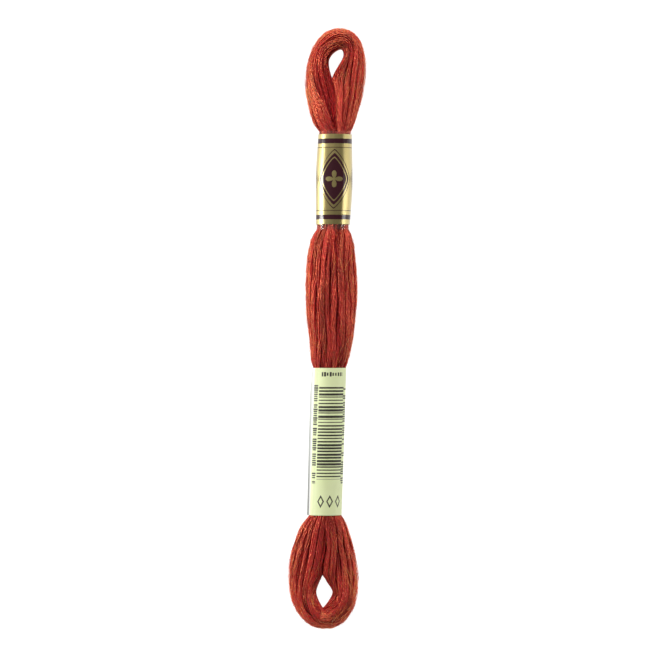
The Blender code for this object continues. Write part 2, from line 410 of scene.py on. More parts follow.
def section_of(station):
    """Centre and half sizes of the oval of a leg's section, in its own plane."""
    width = float(np.linalg.norm(outer[station] - inner[station]))
    lean = crease[station]
    centre = np.array([width * lean / (1 + lean), (under[station] + over[station]) / 2])
    half = np.array([width / (1 + lean), (over[station] - under[station]) / 2])
    return centre, half


def section_area(station):
    """Area of the section in square mm, without what the seam and the floor cut off."""
    centre, half = section_of(station)
    steps = np.linspace(-1, 1, AREA_STEPS)
    across, up = np.meshgrid(steps, steps)
    kept = (across**2 + up**2 < 1) & (across * half[0] + centre[0] > 0)
    kept &= up * half[1] + centre[1] > 0
    return kept.mean() * 4 * half[0] * half[1]


def floss_spacing(station):
    """How far apart the flosses lie when they share out the section evenly."""
    return np.sqrt(section_area(station) / TURNS * 2 / np.sqrt(3))


def strand_radius(station):
    return STRAND_RADIUS * (1 + (LOOSE_SWELL - 1) * loose[station])


print("flosses under the label: %.2f mm apart" % floss_spacing(0))

# %% [markdown]
# Pushing apart is the heart of it: every two strands that come closer than they may
# each give way a little, again and again, while the six of a floss are drawn together
# and nothing leaves the section. It could be left to a physics simulation, but a few
# lines of numpy do the same for all strands at once.

# %% Push the strands apart
PUSH = 0.42                  # the share of an overlap that each of the two gives way
NO_DISTANCE = TINY / 1000    # mm, keeps a strand's distance to itself off nothing


def push_apart(points, limits):
    """Moves every pair that is closer than its limit most of the way to it."""
    apart = points[:, None] - points[None]
    distance = np.sqrt((apart**2).sum(-1)) + NO_DISTANCE
    push = np.clip(limits - distance, 0, None) / distance
    np.fill_diagonal(push, 0)
    return points + PUSH * (apart * push[..., None]).sum(1)


def keep_inside(points, station, inset):
    """Holds the points inside the section, off the seam plane and off the floor."""
    centre, half = section_of(station)
    scaled = (points - centre) / (half - inset)
    length = np.linalg.norm(scaled, axis=-1, keepdims=True)
    points = centre + scaled / np.maximum(length, 1) * (half - inset)
    return np.maximum(points, (SEAM_PRESS * inset, inset))


def settle(flosses, station, rounds):
    """Lets the flosses fill the section, each with its strands held together."""
    radius = strand_radius(station)
    spacing = floss_spacing(station)
    same = np.kron(np.eye(TURNS), np.ones((STRANDS, STRANDS))) > 0
    between = 2 * radius * (1 + FLOSS_ROOM * loose[station])
    limits = np.where(same, 2 * radius, between)
    for _ in range(rounds):
        middle = flosses.mean(1)
        flosses = flosses + (push_apart(middle, spacing) - middle)[:, None]
        flosses += COHESION * (flosses.mean(1, keepdims=True) - flosses)
        strands = push_apart(flosses.reshape(-1, 2), limits)
        strands = keep_inside(strands, station, radius)
        flosses = strands.reshape(TURNS, STRANDS, 2)
    return flosses


print("strands in a section:", TURNS * STRANDS)

# %% [markdown]
# The flosses don't run dead straight. Each drifts in slow waves of its own, and each
# strand a little within its floss. In a crossing, the flosses that lie nearest to its
# start are taken along to its end, on top of the rest.

# %% Drift and cross over
dice = np.random.default_rng(SEED)
DRIFTS = ((WANDER, WANDER_WAVES, 1), (STRAY, STRAY_WAVES, STRANDS))
phases = [dice.uniform(0, 2 * pi, (len(waves), TURNS, members, 2))
          for _, waves, members in DRIFTS]


def drift(station, step):
    """How far each floss, and each strand within it, drifts across and up in a step."""
    way = np.zeros((TURNS, STRANDS, 2))
    for (amount, waves, _), phase in zip(DRIFTS, phases):
        for length, offset in zip(waves, phase):
            way = way + amount * np.sin(2 * pi * travel[station] / length + offset)
    return way * step


def top_of(station, share):
    """The place just under the top of the section, at a share of the leg's width."""
    centre, half = section_of(station)
    across = share * np.linalg.norm(outer[station] - inner[station])
    height = half[1] * np.sqrt(max(1 - ((across - centre[0]) / half[0]) ** 2, 0.0))
    return np.array([across, centre[1] + height - CROSSING_DEPTH])


def cross_over(flosses, station, members):
    """Leads the flosses of a crossing towards their place on top of the rest."""
    for index, (start, end, count, first, last) in enumerate(CROSSINGS):
        progress = (travel[station] - start) / (end - start)
        if not 0 <= progress <= 1:
            continue
        place = top_of(station, first + (last - first) * ease(progress))
        middles = flosses.mean(1)
        if index not in members:
            nearest = np.argsort(np.linalg.norm(middles - place, axis=1))
            members[index] = nearest[:count]
        group = members[index]
        flosses[group] += CROSSING_PULL * (place - middles[group].mean(0))
    return flosses


print("drifting flosses:", phases[0].shape[1])

# %% [markdown]
# The march round the ring takes a few seconds. Each station takes over the one before,
# stretched to its own section, and the six strands of each floss turn a little about
# each other, which is the lay of the floss.

# %% March round the ring
FIRST_SPREAD = 0.8           # the share of the section that the flosses are dropped into
FLOSS_SPREAD = 0.2           # mm that a floss's strands are scattered at first
FIRST_ROUNDS = 260
ROUNDS = 9
EVENING_ROUNDS = 2           # evens out the small steps that pushing apart leaves


def turn_about(points, middle, angle):
    """Turns points about a middle; a positive angle goes from the outer edge over."""
    rotation = np.array([[cos(angle), sin(angle)], [-sin(angle), cos(angle)]])
    return middle + (points - middle) @ rotation


def wind():
    """Places of every strand in every station: station, floss, strand, (across, up)."""
    centre, half = section_of(0)
    first = centre + half * dice.uniform(-FIRST_SPREAD, FIRST_SPREAD, (TURNS, 1, 2))
    first = first + dice.normal(0, FLOSS_SPREAD, (TURNS, STRANDS, 2))
    flosses = settle(first, 0, FIRST_ROUNDS)
    stations, members = [flosses], {}
    for station in range(1, STATIONS):
        (was, was_half), (now, now_half) = section_of(station - 1), section_of(station)
        step = travel[station] - travel[station - 1]
        flosses = (flosses - was) / was_half
        over_by = radians(turned_over(station) - turned_over(station - 1))
        flosses = turn_about(flosses, np.zeros(2), over_by) * now_half + now
        lay = 2 * pi * step / FLOSS_PITCH
        flosses = turn_about(flosses, flosses.mean(1, keepdims=True), lay)
        flosses = cross_over(flosses + drift(station, step), station, members)
        flosses = settle(flosses, station, ROUNDS)
        stations.append(flosses)
    return np.array(stations)


winding = wind()
for _ in range(EVENING_ROUNDS):
    winding[1:-1] = (winding[:-2] + 2 * winding[1:-1] + winding[2:]) / 4
print("winding:", winding.shape)

# %% [markdown]
# Pushed apart alone, the bundle stands a little off the seam, and the eyes come out
# too wide. So the innermost strands are pressed to the other leg, and in the loops to
# the eye's edge. The rest follow, less and less towards the outside.

# %% Press the innermost strands to the seam
INNERMOST = 4                # how many strands lie quite at the seam
PRESS_WINDOW = 7             # stations that the way they are moved is averaged over

press = SEAM_PRESS * np.array([strand_radius(station) for station in range(STATIONS)])
breadth = np.linalg.norm(outer - inner, axis=1)
across = winding[..., 0].reshape(STATIONS, -1)
slack = np.partition(across, INNERMOST, axis=1)[:, INNERMOST] - press
slack = np.convolve(np.pad(slack, PRESS_WINDOW // 2, mode="edge"),
                    np.ones(PRESS_WINDOW) / PRESS_WINDOW, mode="valid")
across -= slack[:, None] * np.clip(1 - across / breadth[:, None], 0, 1) ** 2
winding[..., 0] = across.reshape(winding.shape[:-1])
for station in range(STATIONS):
    winding[station] = keep_inside(winding[station], station, strand_radius(station))
print("moved inwards by %.2f mm at most" % slack.max())

# %% [markdown]
# ## From the stations' planes into space
# The two legs aren't parted by a straight slit: they lock into each other, so the seam
# winds to and fro a little. And where a loop meets its legs, the strands change their
# way gradually, so the corner there is evened out.

# %% Places in space
SEAM_LOCK = 0.7              # mm that the seam winds to and fro where the legs lock
SEAM_WAVES = (1.05, 0.11)    # how fast it winds, in radians a mm up and along
SEAM_FADING = 5.0            # mm before an eye where the lock starts to fade out
FOOT_REACH = 5.0             # mm from a loop's foot where its corner is evened out
FOOT_ROUNDS = 8
FOOT_INSIDE = 4.5            # mm from the eye, from where a strand is evened out fully

near_foot = np.minimum(abs(inner[:, 1] - LOW_BASE), abs(inner[:, 1] - HIGH_BASE))
foot_ease = (np.exp(-(near_foot / FOOT_REACH) ** 2) / 2)[:, None]
seam_hold = np.clip(
    np.minimum(HIGH_BASE - outer[:, 1], outer[:, 1] - LOW_BASE) / SEAM_FADING, 0, 1)


def in_space(places, stations):
    """Places in their stations' planes as points in space, in mm."""
    direction = outer[stations] - inner[stations]
    width = np.linalg.norm(direction, axis=1, keepdims=True)
    flat = inner[stations] + direction / width * places[:, :1]
    near_seam = (1 - places[:, 0] / width[:, 0]) ** 2 * seam_hold[stations]
    flat[:, 0] += SEAM_LOCK * near_seam * np.sin(
        SEAM_WAVES[0] * places[:, 1] + SEAM_WAVES[1] * flat[:, 1])
    points = np.column_stack([flat, places[:, 1]])
    evening = foot_ease[stations] * np.clip(places[:, :1] / FOOT_INSIDE, 0, 1) ** 2
    for _ in range(FOOT_ROUNDS):
        points[1:-1] += evening[1:-1] * ((points[:-2] + points[2:]) / 2 - points[1:-1])
    return points


print("stations near a loop's foot:", int((near_foot < FOOT_REACH).sum()))

# %% [markdown]
# ## Six unbroken strands
# Each turn has to end where another begins, or the floss would be twenty-five separate
# rings. Under the label, where nobody sees it, the end of each turn is led over to the
# start of the nearest turn that isn't used yet. So each of the six strands is one
# unbroken length of about eight metres.

# %% Lead each turn over to the next
LEAD = 14                    # stations under the label that lead over


def nearest_chain(ends, starts):
    """The order of the turns, each followed by the nearest turn that is left."""
    order = [0]
    while len(order) < TURNS:
        distance = np.linalg.norm(starts - ends[order[-1]], axis=1)
        distance[order] = np.inf
        order.append(int(np.argmin(distance)))
    return order


def nearest_partners(ends, starts):
    """For each strand of a turn, the strand of the next turn that it goes over to."""
    partners, left = [], list(range(STRANDS))
    for end in ends:
        near = min(left, key=lambda strand: np.linalg.norm(starts[strand] - end))
        partners.append(near)
        left.remove(near)
    return partners


order = nearest_chain(winding[-1].mean(1), winding[0].mean(1))
share = ease(np.arange(LEAD + 1) / LEAD)[:, None, None]
paths, radii = [[] for _ in range(STRANDS)], []
names = list(range(STRANDS))
every = np.arange(STATIONS)
for turn, floss in enumerate(order):
    places = winding[:, floss].copy()
    following = names
    if turn + 1 < TURNS:
        starts = winding[0, order[turn + 1]]
        partners = nearest_partners(places[-1], starts)
        places[-LEAD - 1:] += share * (starts[partners] - places[-1])
        for station in every[-LEAD:]:
            held = keep_inside(places[station], station, strand_radius(station))
            places[station] = held
        following = [partners[name] for name in names]
    keep = every[:-1] if turn + 1 < TURNS else every
    for strand, name in enumerate(names):
        paths[strand].append(in_space(places[keep, name], keep))
    radii.append(np.array([STRAND_SLACK * strand_radius(station) for station in keep]))
    names = following
paths = [np.vstack(path) for path in paths]
radii = np.concatenate(radii)
lengths = [np.linalg.norm(np.diff(path, axis=0), axis=1).sum() for path in paths]
print("each strand: %.2f m, %d points" % (lengths[0] * MM, len(radii)))

# %% [markdown]
# ## The floss's material: mercerised cotton
# Cotton that was soaked in lye under tension swells round and smooth, so it shines like
# silk, and it takes dye deeply. A plain diffuse red would look like wool. Here a strong,
# warm gloss gives the orange rims, and light that goes through the strands gives the
# deep red of the hollows. The six strands of a floss went through the dye together, so
# they are lighter and darker in the same stretches, and whole flosses stand out from
# each other. Every pattern follows the strand's own UV map, in millimetres along it.

# %% Sizes of the cotton's patterns
PLY_PITCH = 3.0              # mm for one full twist of the two plies
PLY_DEPTH = 0.07             # mm of relief, a little deep so that it shows
TWIST_LENGTH = 9.0           # mm over which the twist runs ahead or lags behind
UNEVEN_TWIST = 1.2           # turns by which it does so
STRAND_APART = 9000.0        # mm in the UV map between one strand and the next
DYE_LENGTH = 22.0            # mm of a stretch with a shade of its own
DYE_START = 31.0             # picks where in the dye's noise a strand starts
DYE_RANGE = (0.36, 0.64)     # the noise at the darkest and at the lightest dye
FIBRE_LENGTH = 3.5           # mm of a streak; real ones are finer and wouldn't show
FIBRES_ROUND = 6.0           # streaks round a strand
FIBRE_RELIEF = 0.6           # how high a streak stands, as a share of a ply
DYES = ("#760A22", "#C02C38")            # where the dye took more, and less
FIBRE_TONE_AND_GLINTS = (0.35, 0.75, 0.7, 1.8)    # from the streaks' noise to how light they are: random tone, and painted highlight where above 1
PLY_PAINTED_SHADE = (0.0, 0.7, 0.7, 1.1)        # from groove to ridge, to how light it is: painted shade in the groove, a touch of painted light on the ridge
print("a strand changes its shade about every %.0f mm" % DYE_LENGTH)

# %% [markdown]
# Each strand is two plies twisted together, which shows as two slanting ridges with a
# narrow groove between them, and its fibres catch the light in short streaks. The strands
# could be modelled as two plies each, but that would take ten times the faces for a relief
# of less than a tenth of a millimetre. So a bump gives the relief, and the colour gets
# painted shade in the grooves and painted highlight on the lightest streaks. Cotton has an
# IOR of about 1.55. It is higher here, because what shines isn't one smooth skin but many
# fibres one behind the other, and the shine is warm because they are dyed through.


# %% Mercerised cotton
def mercerised_cotton():
    material, node = new_material("mercerised_cotton_floss")
    _, length, around = uv_place(node)
    # long, soft changes of the dye, the same in all strands of a floss
    same = node(MATH, (length, STRAND_APART), operation="MODULO")
    bath = node(NOISE, {
        "W": node(MATH, (same, 1 / DYE_LENGTH, DYE_START), operation="MULTIPLY_ADD"),
        "Scale": 1.0, "Detail": 2.0}, noise_dimensions="1D")
    dye = node(MIX, {0: node(RANGE, (bath, *DYE_RANGE)),
                     6: linear(DYES[0]), 7: linear(DYES[1])}, data_type="RGBA")
    # the turn of the plies at this place: they twist, here a bit more and there less
    uneven = node(NOISE, {
        "W": length, "Scale": 1 / TWIST_LENGTH, "Detail": 1.0}, noise_dimensions="1D")
    even = node(MATH, (length, 1 / PLY_PITCH, around), operation="MULTIPLY_ADD")
    twist = node(MATH, (uneven, UNEVEN_TWIST, even), operation="MULTIPLY_ADD")
    # two round ridges with a narrow groove between them, once round for both
    angle = node(MATH, (twist, 2 * pi), operation="MULTIPLY")
    wave = node(MATH, (angle,), operation="SINE")
    ridge = node(MATH, (wave,), operation="ABSOLUTE")
    # fibres lie along the plies
    streaks = node("ShaderNodeCombineXYZ", (
        node(MATH, (length, 1 / FIBRE_LENGTH), operation="MULTIPLY"),
        node(MATH, (twist, FIBRES_ROUND), operation="MULTIPLY")))
    fibres = node(NOISE, {"Vector": streaks, "Scale": 1.0, "Detail": 2.0})
    # painted shade in the ply grooves, times streaks of random tone that turn into painted
    # highlight where lightest
    shade = node(MATH, (node(RANGE, (fibres, *FIBRE_TONE_AND_GLINTS)),
                        node(RANGE, (ridge, *PLY_PAINTED_SHADE))), operation="MULTIPLY")
    colour = node("ShaderNodeVectorMath", {0: dye, "Scale": shade}, operation="SCALE")
    relief = node(MATH, (fibres, FIBRE_RELIEF, ridge), operation="MULTIPLY_ADD")
    shader = node(SHADER, {
        "Base Color": colour, "Roughness": 0.27, "IOR": 2.3,
        "Specular IOR Level": 1.0, "Specular Tint": linear("#FF8A5C"),
        "Subsurface Weight": 0.5, "Subsurface Radius": (1.0, 0.12, 0.12),
        "Subsurface Scale": 0.8 * MM, "Sheen Weight": 0.45, "Sheen Roughness": 0.2,
        "Sheen Tint": linear("#FF6C44"), "Normal": node("ShaderNodeBump", {
            "Height": relief, "Distance": PLY_DEPTH * MM, "Strength": 1.0})})
    node("ShaderNodeOutputMaterial", (shader,))
    return material


cotton = mercerised_cotton()
print("material:", cotton.name)

# %% [markdown]
# ## The strands' meshes
# A strand is a long round tube, and a curve with a round bevel makes one along any
# path. Swept rings of vertices would do the same with more code. Six sides are enough
# for a strand of less than half a millimetre. The curve becomes a mesh at once, so that
# its UV map can be turned from shares of the curve into millimetres.


# %% A tube along paths
def tube_mesh(name, curve, paths, radii):
    """Lays a curve's bevel along the paths, in mm, and gives the mesh that it makes."""
    curve.dimensions = "3D"
    for path, radius in zip(paths, radii):
        spline = curve.splines.new("POLY")
        spline.points.add(len(path) - 1)
        places = np.column_stack([path * MM, np.ones(len(path))])
        spline.points.foreach_set("co", places.ravel())
        spline.points.foreach_set("radius", radius)
    helper = bpy.data.objects.new(name, curve)
    mesh = bpy.data.meshes.new_from_object(helper)
    mesh.name = name
    bpy.data.objects.remove(helper)
    return mesh


print("floss to sweep: %.1f m" % (sum(lengths) * MM))

# %% [markdown]
# In the UV map each strand starts 9 m after the one before, so that no two have the
# same plies and streaks. Only the dye leaves that distance out. All six are given the
# same length there, or their shades would drift apart from turn to turn.


# %% Six strands
def strand_mesh(name, path, offset):
    """A round strand along its path, its UV map in mm along it and in turns round it."""
    curve = bpy.data.curves.new(name, "CURVE")
    curve.bevel_depth = MM
    curve.bevel_resolution = 1
    curve.use_fill_caps = True
    mesh = tube_mesh(name, curve, [path], [radii])
    steps = np.linalg.norm(np.diff(path, axis=0), axis=1)
    along = np.concatenate([[0], np.cumsum(steps)])
    along = along * np.mean(lengths) / along[-1] + offset
    layer = mesh.uv_layers[0].data
    uv = np.zeros(2 * len(layer), dtype=np.float32)
    layer.foreach_get("uv", uv)
    uv[0::2] = np.interp(uv[0::2] * len(steps), np.arange(len(path)), along)
    layer.foreach_set("uv", uv)
    mesh.shade_smooth()
    return mesh


for index, path in enumerate(paths):
    name = "floss_strand_%d" % (index + 1)
    mesh = strand_mesh(name, path, index * STRAND_APART)
    add_piece(name, mesh, "floss_hank", "floss", cotton)
    print(name, len(mesh.polygons), "faces")

# %% [markdown]
# ## Loose fibres
# Even mercerised cotton has fibres that stand off the strand and catch the light, which
# is what makes the outline of a skein look soft and golden. Hair particles would make
# them, but fifteen hundred thin curves need no simulation. A single fibre is a clear
# tube with little dye in it, and light passes through, so it looks far lighter than the
# strand below it. It gets a cotton of its own, lighter here and darker there.

# %% Cotton of the loose fibres
TINT_LENGTH = 4.0            # mm over which the fibres change from dark to light
TINT_RANGE = (0.35, 0.65)    # the noise at the darkest and at the lightest tint
FIBRE_TINTS = ("#B82C12", "#FF9054")


def loose_cotton():
    material, node = new_material("loose_cotton_fibres")
    place = node("ShaderNodeTexCoord")
    patches = node(NOISE, {
        "Vector": place.outputs["Object"], "Scale": 1 / (TINT_LENGTH * MM), "Detail": 2.0})
    colour = node(MIX, {
        0: node(RANGE, (patches, *TINT_RANGE)),
        6: linear(FIBRE_TINTS[0]), 7: linear(FIBRE_TINTS[1])}, data_type="RGBA")
    shader = node(SHADER, {
        "Base Color": colour, "Roughness": 0.4, "IOR": 1.55, "Subsurface Weight": 1.0,
        "Subsurface Radius": (1.0, 0.6, 0.4), "Subsurface Scale": 0.1 * MM})
    node("ShaderNodeOutputMaterial", (shader,))
    return material


fibre_cotton = loose_cotton()
print("material:", fibre_cotton.name)

# %% [markdown]
# Each fibre follows a strand near the outside for some millimetres, slants off to one
# side and lifts at its ends. Four sides and a taper are enough for so thin a thing.

# %% Places of the loose fibres
FIBRE_RADIUS = 0.034         # mm, a little thick so that it shows
FIBRE_RUN = (4, 10)          # stations that a fibre follows its strand
FIBRE_SLANT = 1.1            # mm to the side at its ends, at most
FIBRE_LIFT = (0.02, 0.40)    # mm off the strand at its ends
OUTSIDE = 0.80               # share of the section's half size where the outside starts
FIBRE_ROOM = (0.5, 1.0)      # mm that it keeps off the seam and off the table
FIBRE_TOP = (0.0, 1.1)       # the more a fibre faces up, the more seldom it is kept
LOOSE_ENOUGH = 0.2           # how loose the floss is where a fibre can stand off
RING_ENDS = 2                # stations at both ends of the ring that it keeps off


def fibre_points():
    """The points of one loose fibre, or None where the strand isn't on the outside."""
    start = dice.integers(RING_ENDS, STATIONS - FIBRE_RUN[1] - RING_ENDS)
    stations = np.arange(start, start + dice.integers(*FIBRE_RUN))
    if loose[stations].min() < LOOSE_ENOUGH:
        return None
    floss, strand = dice.integers(TURNS), dice.integers(STRANDS)
    places = winding[stations, floss, strand].copy()
    outward = []
    for station, place in zip(stations, places):
        centre, half = section_of(station)
        scaled = (place - centre) / half
        if np.hypot(*scaled) < OUTSIDE or (place < FIBRE_ROOM).any():
            return None
        outward.append(scaled / np.hypot(*scaled))
    outward = np.array(outward)
    if outward[:, 1].mean() > dice.uniform(*FIBRE_TOP):
        return None
    across = np.linspace(-1, 1, len(stations))[:, None]
    lift = strand_radius(start) + dice.uniform(*FIBRE_LIFT) * across ** 2
    aside = np.column_stack([-outward[:, 1], outward[:, 0]])
    places += outward * lift + aside * across * dice.uniform(-1, 1) * FIBRE_SLANT
    points = in_space(places, stations)
    points[:, 2] = np.maximum(points[:, 2], 2 * FIBRE_RADIUS)
    return points


print("a fibre is %.2f mm thick" % (2 * FIBRE_RADIUS))

# %% [markdown]
# Places are tried at random until there are enough. All fibres share one curve, and so
# become one mesh, because fifteen hundred objects would be slow to handle.

# %% Loose fibres
FIBRES = 1500
FIBRE_TAPER = 0.3            # radians of a half wave that its ends are cut short by

fibre_paths = []
while len(fibre_paths) < FIBRES:
    points = fibre_points()
    if points is not None:
        fibre_paths.append(points)
tapers = [np.sin(np.linspace(FIBRE_TAPER, pi - FIBRE_TAPER, len(path)))
          for path in fibre_paths]
fibre_curve = bpy.data.curves.new("loose_fibres", "CURVE")
fibre_curve.bevel_depth = FIBRE_RADIUS * MM
fibre_curve.bevel_resolution = 0
fibre_mesh = tube_mesh("loose_fibres", fibre_curve, fibre_paths, tapers)
add_piece("loose_fibres", fibre_mesh, "floss_hank", "floss", fibre_cotton)
print("loose fibres:", FIBRES, "faces:", len(fibre_mesh.polygons))

# %% [markdown]
# ## A sheet rolled into a sleeve
# Both sleeves start flat, as they do in the packing machine: one sheet, wrapped round
# the skein, one edge lapped over the other and glued. A plain tube would have no edge
# to see. So each sheet is a flat grid at its real size, which also gives a UV map in
# millimetres to print on. A narrow row of faces at both ends keeps the smooth shading
# of the wall from running into the cut edge.


# %% A flat sheet
def flat_sheet(girth, length, sheet):
    """A grid in mm from its upper left corner, with a UV map in mm, cut where told."""
    builder = bmesh.new()
    uv = builder.loops.layers.uv.new("UVMap")
    bmesh.ops.create_grid(builder, x_segments=sheet["columns"],
                          y_segments=sheet["lines"], size=0.5)
    bmesh.ops.transform(builder, verts=builder.verts, matrix=Matrix.Diagonal(
        (girth, length, 1, 1)) @ Matrix.Translation((0.5, -0.5, 0)))
    for cut in (sheet["end_row"], *sheet["cuts"], length - sheet["end_row"]):
        geometry = builder.verts[:] + builder.edges[:] + builder.faces[:]
        bmesh.ops.bisect_plane(builder, geom=geometry, plane_co=(0, -cut, 0),
                               plane_no=(0, 1, 0))
    for face in builder.faces:
        for corner in face.loops:
            corner[uv].uv = (corner.vert.co.x, -corner.vert.co.y)
    return builder


print("mouths of the sleeves:", SLEEVES)

# %% [markdown]
# Then every point is rolled to its place round the skein's section. A few long shallow
# facets show where the floss presses from inside, and the outer edge may stand off as a
# small lip. The wall is a Solidify modifier with its thickness on the inside, because
# the outside is what was measured.

# %% Roll a sheet round the skein
GIRTH_STEPS = 720
LIP_START = 8.0              # mm from the upper end until a lip stands off fully


def girth_of(half_across, half_up):
    """Length round an oval, by walking it."""
    angles = np.linspace(0, 2 * pi, GIRTH_STEPS + 1)
    walk = np.column_stack([half_across * np.sin(angles), half_up * np.cos(angles)])
    return np.linalg.norm(np.diff(walk, axis=0), axis=1).sum()


def rolled_sheet(name, rows, sheet):
    """A sheet lapped round the skein; angles run from the top over the right side."""
    top_y, bottom_y = rows[0][0], rows[-1][0]
    half_across = (rows[1][3] - rows[1][1]) / 2
    half_up = (rows[1][5] - rows[1][4]) / 2
    round_once = girth_of(half_across, half_up)
    girth = round_once + sheet["lap"]
    lip_length, lip_rise = sheet["lip"]
    builder = flat_sheet(girth, top_y - bottom_y, sheet)
    for vertex in builder.verts:
        around, along = vertex.co.x, -vertex.co.y
        angle = radians(sheet["edge_angle"]) + 2 * pi * around / round_once
        left, _, right, low, high = smooth_rows(rows, np.array([top_y - along]))[0]
        inward = around / girth * (sheet["thickness"] + sheet["play"])
        for waves, depth, slant in sheet["waves"]:
            inward += depth * (1 + sin(waves * angle + slant * along)) / 2
        inward -= (lip_rise * max(1 - around / lip_length, 0.0) ** 2
                   * ease(min(along / LIP_START, 1.0)))
        vertex.co = Vector((
            (left + right) / 2 + ((right - left) / 2 - inward) * sin(angle),
            top_y - along,
            (low + high) / 2 + ((high - low) / 2 - inward) * cos(angle))) * MM
    bmesh.ops.recalc_face_normals(builder, faces=builder.faces)
    mesh = bpy.data.meshes.new(name)
    builder.to_mesh(mesh)
    builder.free()
    mesh.shade_smooth()
    print("%s: %.1f x %.1f mm, %d faces" % (
        name, girth, top_y - bottom_y, len(mesh.polygons)))
    return mesh, round_once


def give_thickness(piece, thickness):
    """Turns the rolled surface into a thin sheet, its thickness on the inside."""
    wall = piece.modifiers.new("wall", "SOLIDIFY")
    wall.thickness = thickness * MM
    wall.offset = -1


print("a circle of 5 mm radius measures %.2f mm round" % girth_of(5.0, 5.0))

# %% [markdown]
# Both prints have lozenges, and a lozenge needs no image: the way to the side and the
# way down, each as a share of half its size, add up to 1 all along its edge.


# %% A lozenge to print
def lozenge_size(node, across, down, half_sizes, bow=1.0):
    """0 in a lozenge's middle, 1 on its edge; a bow above 1 swells its sides."""
    reaches = []
    for way, half in zip((across, down), half_sizes):
        part = node(MATH, (way, half), operation="DIVIDE")
        part = node(MATH, (part,), operation="ABSOLUTE")
        reaches.append(node(MATH, (part, bow), operation="POWER"))
    return node(MATH, reaches, operation="ADD")


print("the edge of a lozenge is where its size is 1")

# %% [markdown]
# ## The film sleeve's print
# The upper sleeve is clear polypropylene film, reverse printed with a gold bronze ink
# and a dark plum, and left clear at both cut ends, where the floss shows through. The
# print could be an image, but it is a few shapes, so it is drawn by the material: gold
# all over, a plum stripe near each end, and in the field between them upright lozenges
# with a small flower in each.

# %% Sizes of the film's print
FILM_LAP_ANGLE = 168.0                  # degrees from the top, the lap lies underneath
LOZENGES_ROUND = 3
LOZENGE_MIDDLE = 13.05                  # mm from the upper end
LOZENGE = (4.3, 7.0)                    # mm, half its width and half its height
LOZENGE_BOW = 1.25                      # its sides bow outwards a little
LOZENGE_LINES = ((0.80, 0.035), (1.17, 0.03))   # its inner and outer line, in sizes of it
PETAL = 2.3                             # mm, the reach of a petal
HEART = 0.16                            # square mm, the flower's middle
HEART_LEAST = 0.01                      # square mm, so that nothing is divided by 0
# middle and half width of the bands and fine lines, in mm from the upper end
FILM_BANDS = ((2.75, 0.65), (23.375, 0.625), (4.5, 0.08), (21.6, 0.08))
print("height of a lozenge: %.1f mm" % (2 * LOZENGE[1]))

# %% [markdown]
# The four petals need no picture either: how far a petal reaches follows the cosine of
# twice the angle, which is the difference of the two ways' squares over their sum.


# %% Where the film is plum
def plum_print(node, around, along, girth):
    """1 where the film is printed plum and 0 where it is gold."""
    pitch = girth / LOZENGES_ROUND
    front = girth * (360 - FILM_LAP_ANGLE) / 360
    from_front = node(MATH, (around, front), operation="SUBTRACT")
    across = node(MATH, (from_front, pitch / 2, -pitch / 2), operation="WRAP")
    down = node(MATH, (along, LOZENGE_MIDDLE), operation="SUBTRACT")
    lozenge = lozenge_size(node, across, down, LOZENGE, LOZENGE_BOW)
    plum = node(MATH, (lozenge, 1.0), operation="LESS_THAN")
    for operation, line in zip(("SUBTRACT", "MAXIMUM"), LOZENGE_LINES):
        line = node(MATH, (lozenge, *line), operation="COMPARE")
        plum = node(MATH, (plum, line), operation=operation)
    squares = [node(MATH, (way, way), operation="MULTIPLY") for way in (across, down)]
    square = node(MATH, squares, operation="ADD")
    difference = node(MATH, squares, operation="SUBTRACT")
    leaf = node(MATH, (
        node(MATH, (difference,), operation="ABSOLUTE"),
        node(MATH, (square, HEART_LEAST), operation="MAXIMUM")), operation="DIVIDE")
    petal = node(MATH, (
        node(MATH, (square,), operation="SQRT"),
        node(MATH, (leaf, PETAL), operation="MULTIPLY")), operation="LESS_THAN")
    heart = node(MATH, (square, HEART), operation="LESS_THAN")
    for part in (petal, heart):
        plum = node(MATH, (plum, part), operation="SUBTRACT")
    for band in FILM_BANDS:
        band = node(MATH, (along, *band), operation="COMPARE")
        plum = node(MATH, (plum, band), operation="MAXIMUM")
    return node(MATH, (plum, 0.0), operation="MAXIMUM")


print("lozenges round the sleeve:", LOZENGES_ROUND)

# %% [markdown]
# Gold bronze ink is metal flakes under film, so it is metallic, rather rough, and bright
# only where it faces a light. The film over it is its coat. The plum is a plain printing
# ink that has the film's own gloss.

# %% Printed film
FLAKES = 4.0                 # a mm; real flakes are far finer and don't show
GOLDS = ("#AE9C5C", "#D0BE7E")
PLUM = "#38121C"
INK_ROUGHNESS = (0.36, 0.20)     # of the gold, and of the plum


def printed_film(girth):
    material, node = new_material("gold_printed_film")
    sheet, around, along = uv_place(node)
    plum = plum_print(node, around, along, girth)
    flakes = node(NOISE, {"Vector": sheet, "Scale": FLAKES, "Detail": 2.0})
    gold = node(MIX, {
        0: flakes, 6: linear(GOLDS[0]), 7: linear(GOLDS[1])}, data_type="RGBA")
    metal = node(MATH, (1.0, plum), operation="SUBTRACT")
    shader = node(SHADER, {
        "Base Color": node(MIX, {0: plum, 6: gold, 7: linear(PLUM)}, data_type="RGBA"),
        "Metallic": metal, "Coat Weight": metal, "Coat Roughness": 0.3,
        "Roughness": node(RANGE, (plum, 0.0, 1.0, *INK_ROUGHNESS))})
    node("ShaderNodeOutputMaterial", (shader,))
    return material


print("golds in linear light:", *("%.2f %.2f %.2f" % linear(gold)[:3] for gold in GOLDS))

# %% [markdown]
# At both ends the film is left clear. It is smooth and nearly invisible, and shows by
# its glints and by a faint haze over the floss. Real film also bends light, but so thin
# a sheet hardly does, so a mix with nothing at all gives the same with far less noise.


# %% Clear film
def clear_film():
    material, node = new_material("clear_polypropylene_film")
    shader = node(SHADER, {
        "Base Color": linear("#B89088"), "Roughness": 0.1, "IOR": 1.49,
        "Alpha": 0.06, "Coat Weight": 1.0, "Coat Roughness": 0.05})
    node("ShaderNodeOutputMaterial", (shader,))
    return material


clear_ends = clear_film()
print("material:", clear_ends.name)

